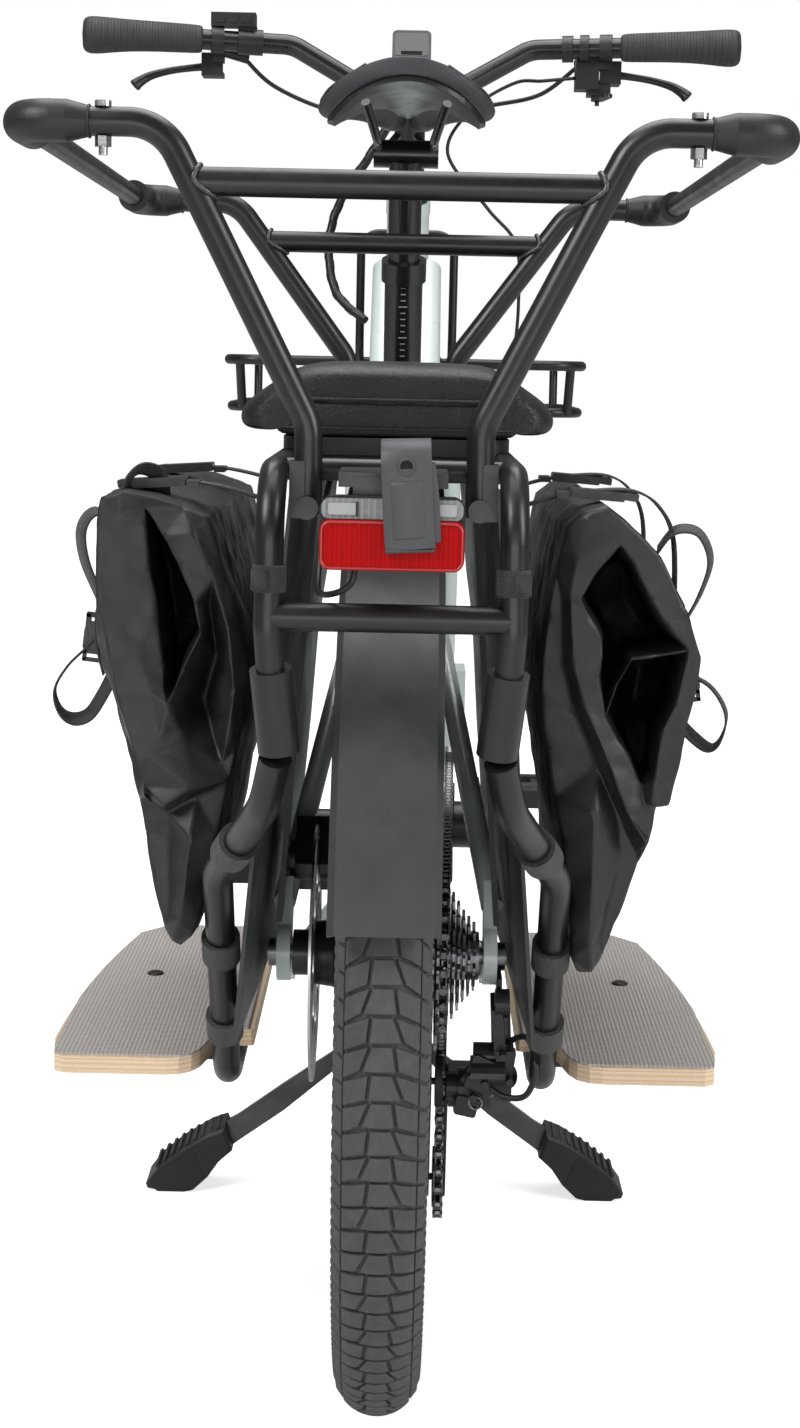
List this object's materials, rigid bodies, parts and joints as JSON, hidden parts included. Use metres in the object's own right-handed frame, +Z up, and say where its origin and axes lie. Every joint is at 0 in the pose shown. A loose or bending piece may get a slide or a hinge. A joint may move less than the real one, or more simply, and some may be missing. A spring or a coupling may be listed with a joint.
{
  "type": "cargo bicycle",
  "caption": "Longtail cargo bicycle with passenger cushion and hoops, footboards, folded panniers, front carrier, disc brakes, mid motor and twin-leg stand.",
  "frame": {"origin": "middle of the bicycle's box, on the ground it stands on", "axes": "+Y the way the bicycle rides, +Z up, +X its right-hand (chain) side"},
  "size_m": [0.7424, 1.9324, 1.1035],
  "materials": {
    "frame_paint": "satin pale grey-green paint",
    "black_metal": "satin black powder coat",
    "motor_black": "matt black housing",
    "post_black": "black anodised",
    "steel_dark": "dark steel",
    "bolt_steel": "zinc plated",
    "disc_steel": "brushed",
    "board_wood": "laminated birch, clear coat",
    "board_grip": "woven anti-slip",
    "cushion_vinyl": "black coated upholstery",
    "lamp_black": "gloss",
    "lens_red": "deep red moulded",
    "lens_clear": "clear moulded",
    "cable_black": "matt",
    "strap_rubber": "satin",
    "bag_fabric": "coated polyester",
    "guard_plastic": "satin dark grey",
    "strap_fabric": "hook and loop",
    "fender_plastic": "matt dark grey",
    "tyre_rubber": "treaded",
    "rim_black": "black anodised",
    "spoke_black": "black",
    "grip_rubber": "matt",
    "pedal_plastic": "matt",
    "saddle_cover": "black synthetic",
    "control_plastic": "matt"
  },
  "bodies": {
    "frame": {"main_frame": "frame_paint", "motor": "motor_black", "seat_clamp": "black_metal", "rear_rack": "black_metal", "board_rails": "black_metal", "footboards": "board_wood", "board_grips": "board_grip", "frame_bolts": "bolt_steel", "rear_hoop": "black_metal", "front_hoop": "black_metal", "hoop_elbows": "motor_black", "side_rails": "black_metal", "passenger_cushion": "cushion_vinyl", "light_housing": "lamp_black", "light_red_lens": "lens_red", "light_clear_lens": "lens_clear", "light_cable": "cable_black", "tie_down_strap": "strap_rubber", "panniers": "bag_fabric", "wheel_guards": "guard_plastic", "rail_straps": "strap_fabric", "rear_fender": "fender_plastic", "front_carrier": "black_metal", "rear_caliper": "black_metal", "rear_derailleur": "control_plastic", "chain": "steel_dark", "rear_axle": "steel_dark", "stand_bracket": "black_metal"},
    "rear_wheel": {"rear_tyre": "tyre_rubber", "rear_rim": "rim_black", "rear_spokes": "spoke_black", "rear_hub": "rim_black", "rear_disc": "disc_steel"},
    "sprockets": {"cassette": "steel_dark"},
    "crank": {"crankset": "black_metal"},
    "pedal_left": {"left_pedal": "pedal_plastic"},
    "pedal_right": {"right_pedal": "pedal_plastic"},
    "pulley_upper": {"guide_pulley": "pedal_plastic"},
    "pulley_lower": {"tension_pulley": "pedal_plastic"},
    "stand": {"kickstand": "black_metal"},
    "seatpost": {"lower_seatpost": "post_black"},
    "saddle": {"stanchion": "post_black", "saddle_shell": "control_plastic", "saddle_cover": "saddle_cover"},
    "steering": {"fork": "frame_paint", "stem": "black_metal", "front_fender": "fender_plastic", "front_caliper": "black_metal", "handlebar": "post_black", "grips": "grip_rubber", "bar_controls": "control_plastic", "control_cables": "cable_black"},
    "lever_left": {"left_brake_lever": "black_metal"},
    "lever_right": {"right_brake_lever": "black_metal"},
    "shifter": {"shift_lever": "control_plastic"},
    "front_wheel": {"front_tyre": "tyre_rubber", "front_rim": "rim_black", "front_spokes": "spoke_black", "front_hub": "rim_black", "front_disc": "disc_steel"}
  },
  "joints": [
    {"name": "rear_wheel_spin", "type": "hinge", "parent": "frame", "child": "rear_wheel", "pos_m": [0, -0.64375, 0.31], "axis": [1, 0, 0], "continuous": true},
    {"name": "sprocket_spin", "type": "hinge", "parent": "frame", "child": "sprockets", "pos_m": [0, -0.64375, 0.31], "axis": [1, 0, 0], "continuous": true},
    {"name": "crank_spin", "type": "hinge", "parent": "frame", "child": "crank", "pos_m": [0, -0.11375, 0.29], "axis": [1, 0, 0], "continuous": true},
    {"name": "right_pedal_spin", "type": "hinge", "parent": "crank", "child": "pedal_right", "pos_m": [0.145, 0.05625, 0.29], "axis": [1, 0, 0], "continuous": true},
    {"name": "left_pedal_spin", "type": "hinge", "parent": "crank", "child": "pedal_left", "pos_m": [-0.145, -0.28375, 0.29], "axis": [1, 0, 0], "continuous": true},
    {"name": "upper_pulley_spin", "type": "hinge", "parent": "frame", "child": "pulley_upper", "pos_m": [0.0387, -0.63375, 0.214], "axis": [1, 0, 0], "continuous": true},
    {"name": "lower_pulley_spin", "type": "hinge", "parent": "frame", "child": "pulley_lower", "pos_m": [0.0387, -0.61775, 0.136], "axis": [1, 0, 0], "continuous": true},
    {"name": "stand_fold", "type": "hinge", "parent": "frame", "child": "stand", "pos_m": [0, -0.26375, 0.15], "axis": [-1, 0, 0], "range_deg": [0, 75]},
    {"name": "seatpost_height", "type": "slide", "parent": "frame", "child": "seatpost", "axis": [0, -0.342, 0.9397], "range_m": [-0.01, 0.05]},
    {"name": "dropper_travel", "type": "slide", "parent": "seatpost", "child": "saddle", "axis": [0, -0.342, 0.9397], "range_m": [-0.07, 0]},
    {"name": "steer", "type": "hinge", "parent": "frame", "child": "steering", "pos_m": [0, 0.38582, 0.89172], "axis": [0, -0.3584, 0.9336], "range_deg": [-50, 50], "deforming": ["control_cables"]},
    {"name": "left_brake", "type": "hinge", "parent": "steering", "child": "lever_left", "pos_m": [-0.226, 0.43225, 1.0515], "axis": [0, 0, 1], "range_deg": [0, 18], "stiffness_Nm_per_rad": 0.5, "springref_deg": -8.59},
    {"name": "right_brake", "type": "hinge", "parent": "steering", "child": "lever_right", "pos_m": [0.226, 0.43225, 1.0515], "axis": [0, 0, -1], "range_deg": [0, 18], "stiffness_Nm_per_rad": 0.5, "springref_deg": -8.59},
    {"name": "shift", "type": "hinge", "parent": "steering", "child": "shifter", "pos_m": [0.212, 0.41825, 1.022], "axis": [0, 0, 1], "range_deg": [0, 25], "stiffness_Nm_per_rad": 0.2, "springref_deg": -8.59},
    {"name": "front_wheel_spin", "type": "hinge", "parent": "steering", "child": "front_wheel", "pos_m": [0, 0.65625, 0.31], "axis": [1, 0, 0], "continuous": true}
  ],
  "couplings": [
    {"joint": "sprocket_spin", "follows": "crank_spin", "ratio": 1.3571},
    {"joint": "upper_pulley_spin", "follows": "crank_spin", "ratio": -3.4545},
    {"joint": "lower_pulley_spin", "follows": "crank_spin", "ratio": 2.9231}
  ]
}
